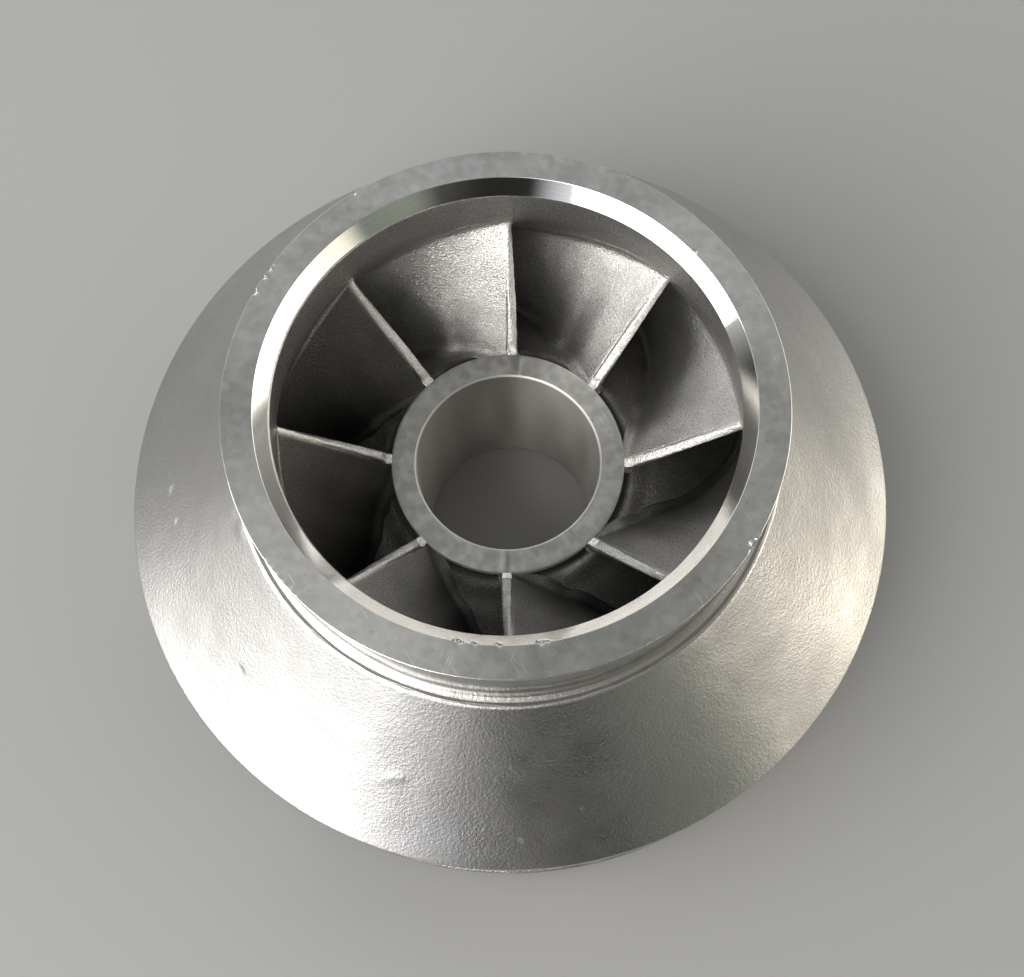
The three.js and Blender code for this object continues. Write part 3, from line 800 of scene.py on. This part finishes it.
def vane(k):
    n_side, n_nose = 84, 13
    root = side_points(ROOT, ROOT_M, ROOT_A, False, n_side, n_nose)
    tip = side_points(TIP, TIP_M, TIP_A, True, n_side, n_nose)
    n = len(root)
    turn = k * 2 * math.pi / VANES
    m0, a0, s0 = root.T
    m1, a1, s1 = tip.T
    rz0, rz1 = ROOT.rz(m0), TIP.rz(m1)

    def at(t):
        t = np.asarray(t)[..., None]
        r = rz0[:, 0] * (1 - t) + rz1[:, 0] * t
        z = rz0[:, 1] * (1 - t) + rz1[:, 1] * t
        a = a0 * (1 - t) + a1 * t
        return xyz(r, z, a + turn)

    low, high = at(0.0), at(1.0)
    span = np.linalg.norm(high - low, axis=-1)

    def edge(line, m, a, corner, other, at_root):
        """Outward direction along the surface, away from the vane, and the surface's own normal."""
        tang = np.roll(corner, -1, 0) - np.roll(corner, 1, 0)
        tang[0] = corner[1] - corner[0]
        tang[-1] = corner[-1] - corner[-2]
        tang /= np.linalg.norm(tang, axis=-1, keepdims=True)
        sl = line.slope(m)
        c, s = np.cos(a + turn), np.sin(a + turn)
        e_m = np.stack([sl[:, 0] * c, sl[:, 0] * s, sl[:, 1]], -1)
        e_t = np.stack([-s, c, 0 * c], -1)
        normal = np.cross(e_m, e_t)
        normal /= np.linalg.norm(normal, axis=-1, keepdims=True)
        if at_root:
            normal = np.where((normal[:, 2] < 0)[:, None], -normal, normal)
        else:
            normal = np.where((normal[:, 2] > 0)[:, None], -normal, normal)
        out = np.cross(tang, normal)
        mid = corner.mean(0)
        # away from the camber: compare with the point on the other side of the outline
        opp = corner[::-1]
        flip = np.sum(out * (corner - opp), -1) < 0
        out = np.where(flip[:, None], -out, out)
        return out, normal

    out0, nor0 = edge(ROOT, m0, a0, low, high, True)
    out1, nor1 = edge(TIP, m1, a1, high, low, False)
    s_mean = (s0 + s1) / 2
    leg0 = 0.8 + 2.0 * np.clip((s_mean - 1) / 14, 0, 1) ** 0.8
    leg1 = 0.7 + 1.3 * np.clip((s_mean - 1) / 12, 0, 1) ** 0.8
    near_end = np.clip((s_mean - 135) / 6, 0, 1)
    leg0 *= 1 - 0.2 * near_end
    # uneven fillets, as a hand-dressed core leaves them
    nz = noise(low / 1.0, 9.0, 51)
    leg0 *= 1 + 0.18 * nz
    nz = noise(high / 1.0, 8.0, 57)
    leg1 *= 1 + 0.2 * nz
    up = (at(0.02) - low)
    up /= np.linalg.norm(up, axis=-1, keepdims=True)
    dn = (at(0.98) - high)
    dn /= np.linalg.norm(dn, axis=-1, keepdims=True)

    rows = []
    bury0 = low + out0 * leg0[:, None] - nor0 * 0.7
    rows.append(bury0)
    for t in np.linspace(0, 1, 9)[:-1]:
        p2, c0, p0 = low + out0 * leg0[:, None] - nor0 * 0.04, low, low + up * leg0[:, None]
        q = 1 - t
        rows.append(q * q * p2 + 2 * q * t * c0 + t * t * p0)
    f0, f1 = leg0 / span, leg1 / span
    for v in np.linspace(0, 1, 46):
        tt = f0 * (1 - v) + (1 - f1) * v
        r = rz0[:, 0] * (1 - tt) + rz1[:, 0] * tt
        z = rz0[:, 1] * (1 - tt) + rz1[:, 1] * tt
        a = a0 * (1 - tt) + a1 * tt
        rows.append(xyz(r, z, a + turn))
    for t in np.linspace(0, 1, 7)[1:]:
        p2, c0, p0 = high + out1 * leg1[:, None] - nor1 * 0.04, high, high + dn * leg1[:, None]
        q = 1 - t
        rows.append(q * q * p0 + 2 * q * t * c0 + t * t * p2)
    rows.append(high + out1 * leg1[:, None] - nor1 * 0.7)
    grid = np.stack(rows, 0)                       # rows, outline, 3
    nr = len(rows)
    verts = grid.reshape(-1, 3).copy()
    faces = []
    for i in range(nr - 1):
        for j in range(n - 1):
            faces.append((i * n + j, i * n + j + 1, (i + 1) * n + j + 1, (i + 1) * n + j))
        faces.append((i * n + n - 1, i * n, (i + 1) * n, (i + 1) * n + n - 1))
    # closing strips, buried in the hub and the shroud
    half = n // 2
    for base, rev in ((0, True), ((nr - 1) * n, False)):
        for j in range(half):
            a, b = j, j + 1
            c, d = n - 1 - j - 1, n - 1 - j
            quad = [base + a, base + b, base + c, base + d]
            quad = list(dict.fromkeys(quad))
            if len(quad) < 3:
                continue
            faces.append(tuple(quad[::-1] if rev else quad))
            if b >= c:
                break
    # brighter, smoother leading edge
    wear = np.zeros((nr, n))
    wear += np.exp(-(np.maximum(s_mean - 0.6, 0) / 1.1) ** 2)[None, :] * 0.9
    fil = np.zeros(nr)
    fil[nr - 7:nr - 1] = 0.35
    wear = np.maximum(wear, fil[:, None] * np.exp(-np.maximum(s_mean - 20, 0) / 20)[None])
    wear = wear.reshape(-1)
    # dirt and painted shade on the counter-clockwise face, by passage, and painted shade in the corner with the hub's
    # flare, fading up the span and weaker on the third vane
    open_side = np.clip((np.arange(n) - (n - 1) / 2) / 5.0, 0, 1)
    dirt_and_shade = (DIRT_AND_SHADE[k] * open_side + 0.12 * (1 - open_side))[None, :] * np.ones((nr, 1))
    up_span = np.clip((np.arange(nr) - 6) / 26.0, 0, 1)
    corner = (0.36 * (1 - up_span ** 2 * (3 - 2 * up_span)))[:, None] * (1 - np.exp(-np.maximum(s_mean, 0) / 9.0))[None, :]
    dirt_and_shade = 1 - (1 - dirt_and_shade) * (1 - corner * (0.45 if k == 2 else 1.0))
    dirt_and_shade = dirt_and_shade.reshape(-1)
    core = verts.copy()
    core[:, 0] += CORE_X
    shift = cast_shift(core)
    verts = core + shift
    # the dressed leading edge is lumpy
    rough = np.exp(-(np.maximum(s_mean, 0) / 2.6) ** 2)[None, :] * np.r_[np.zeros(1), np.ones(nr - 2), np.zeros(1)][:, None]
    rough = rough.reshape(-1)
    for axis in range(3):
        verts[:, axis] += rough * (0.09 * noise(core, 1.3, 61 + axis) + 0.05 * noise(core, 0.65, 71 + axis))
    # the foot of the leading edge is trimmed with the nose
    verts[:, 2] = np.where(np.hypot(verts[:, 0], verts[:, 1]) < 33.5, np.minimum(verts[:, 2], 55.72 + 0 * verts[:, 2]), verts[:, 2])
    rr = np.hypot(verts[:, 0], verts[:, 1])
    over = rr > 105.9
    verts[over, 0] *= 105.9 / rr[over]
    verts[over, 1] *= 105.9 / rr[over]
    return verts, faces, wear, dirt_and_shade


def outward(verts, faces):
    v = np.asarray(verts)
    vol = 0.0
    for f in faces:
        for i in range(1, len(f) - 1):
            vol += np.dot(v[f[0]], np.cross(v[f[i]], v[f[i + 1]]))
    return faces if vol > 0 else [tuple(f[::-1]) for f in faces]


_flip = None
for k in range(VANES):
    verts, faces, wear, dirt_and_shade = vane(k)
    if _flip is None:
        _flip = outward(verts, faces) is not faces
    if _flip:
        faces = [tuple(f[::-1]) for f in faces]
    add_object(f"vane_{k + 1}_cast", verts, faces, CAST_IN, cast_attributes(verts, 64.0, wear, None, dirt_and_shade), node=f"vane_{k + 1}")


# ------------------------------------------------------------------ floor, lights, world
def plain(name, colour, rough):
    mat, nt, bsdf = new_material(name)
    bsdf.inputs["Base Color"].default_value = colour
    bsdf.inputs["Roughness"].default_value = rough
    return mat


floor_mesh = bpy.data.meshes.new("floor")
floor_mesh.from_pydata([(-3, -3, 0), (3, -3, 0), (3, 3, 0), (-3, 3, 0)], [], [(0, 1, 2, 3)])
floor_mesh.materials.append(plain("floor_pale", (0.31, 0.31, 0.303, 1), 0.6))
floor = bpy.data.objects.new("floor", floor_mesh)
SCENE.collection.objects.link(floor)

def heading(azimuth, elevation):
    a, e = math.radians(azimuth), math.radians(elevation)
    return Vector((math.cos(a) * math.cos(e), math.sin(a) * math.cos(e), math.sin(e)))


# soft surroundings: patches of light, their strengths fitted to the tones of the photograph
world = bpy.data.worlds.new("world")
SCENE.world = world
world.use_nodes = True
wt = world.node_tree
wnet = Net(wt)
sky = wt.nodes["Background"]


def lobe(azimuth, elevation, outer, inner):
    n = wt.nodes.new("ShaderNodeVectorMath")
    n.operation = "DOT_PRODUCT"
    wt.links.new(wnet.coord.outputs["Generated"], n.inputs[0])
    n.inputs[1].default_value = heading(azimuth, elevation)
    return wnet.ramp(n.outputs["Value"], math.cos(math.radians(outer)), math.cos(math.radians(inner)))


def add_lobe(total, where, colour):
    return wnet.mix(1.0, total, wnet.mix(where, (0, 0, 0, 1), colour), "ADD")


LOBES = [(0, 6, 24, 6, (1.85, 1.70, 1.42, 1)), (336, 6, 22, 6, (0.80, 0.74, 0.64, 1)), (24, 8, 24, 6, (1.05, 1.01, 0.93, 1)),
         (85, 15, 55, 25, (0.30, 0.31, 0.33, 1)), (240, 8, 22, 6, (0.50, 0.50, 0.53, 1)), (190, 3, 30, 10, (0.20, 0.20, 0.20, 1)),
         (210, 26, 26, 8, (0.95, 0.93, 0.91, 1)), (180, 28, 26, 8, (0.30, 0.29, 0.28, 1)), (122, 28, 26, 8, (0.50, 0.50, 0.50, 1)),
         (150, 28, 26, 8, (0.38, 0.40, 0.41, 1)), (32, 28, 26, 8, (0.42, 0.43, 0.42, 1)), (110, 53, 40, 14, (0.11, 0.115, 0.115, 1)),
         (60, 80, 42, 12, (0.18, 0.18, 0.175, 1)), (236, 46, 26, 8, (1.15, 1.12, 1.06, 1)), (300, 50, 36, 12, (0.12, 0.115, 0.105, 1)),
         (310, 14, 22, 8, (0.10, 0.115, 0.095, 1)), (0, 36, 28, 10, (0.24, 0.225, 0.20, 1))]
tint = (0.012, 0.012, 0.012, 1)
for azimuth, elevation, outer, inner, colour in LOBES:
    tint = add_lobe(tint, lobe(azimuth, elevation, outer, inner), colour)
wt.links.new(tint, sky.inputs[0])
sky.inputs[1].default_value = 1.875


def panel(name, azimuth, elevation, distance, width, height, power, colour=(1, 1, 1)):
    """A soft light panel facing the part; azimuth from +X counter-clockwise."""
    data = bpy.data.lights.new(name, "AREA")
    data.shape = "RECTANGLE"
    data.size, data.size_y = width, height
    data.energy = power
    data.color = colour
    obj = bpy.data.objects.new(name, data)
    at = heading(azimuth, elevation) * distance
    obj.location = at + Vector((0, 0, 0.05))
    obj.rotation_euler = (-at).to_track_quat("-Z", "Y").to_euler()
    obj.visible_camera = False
    SCENE.collection.objects.link(obj)
    return obj


panel("window_left", 207, 31, 1.7, 2.2, 2.0, 40, (1.0, 0.992, 0.97))

SCENE.view_settings.view_transform = "Standard"
SCENE.view_settings.look = "None"
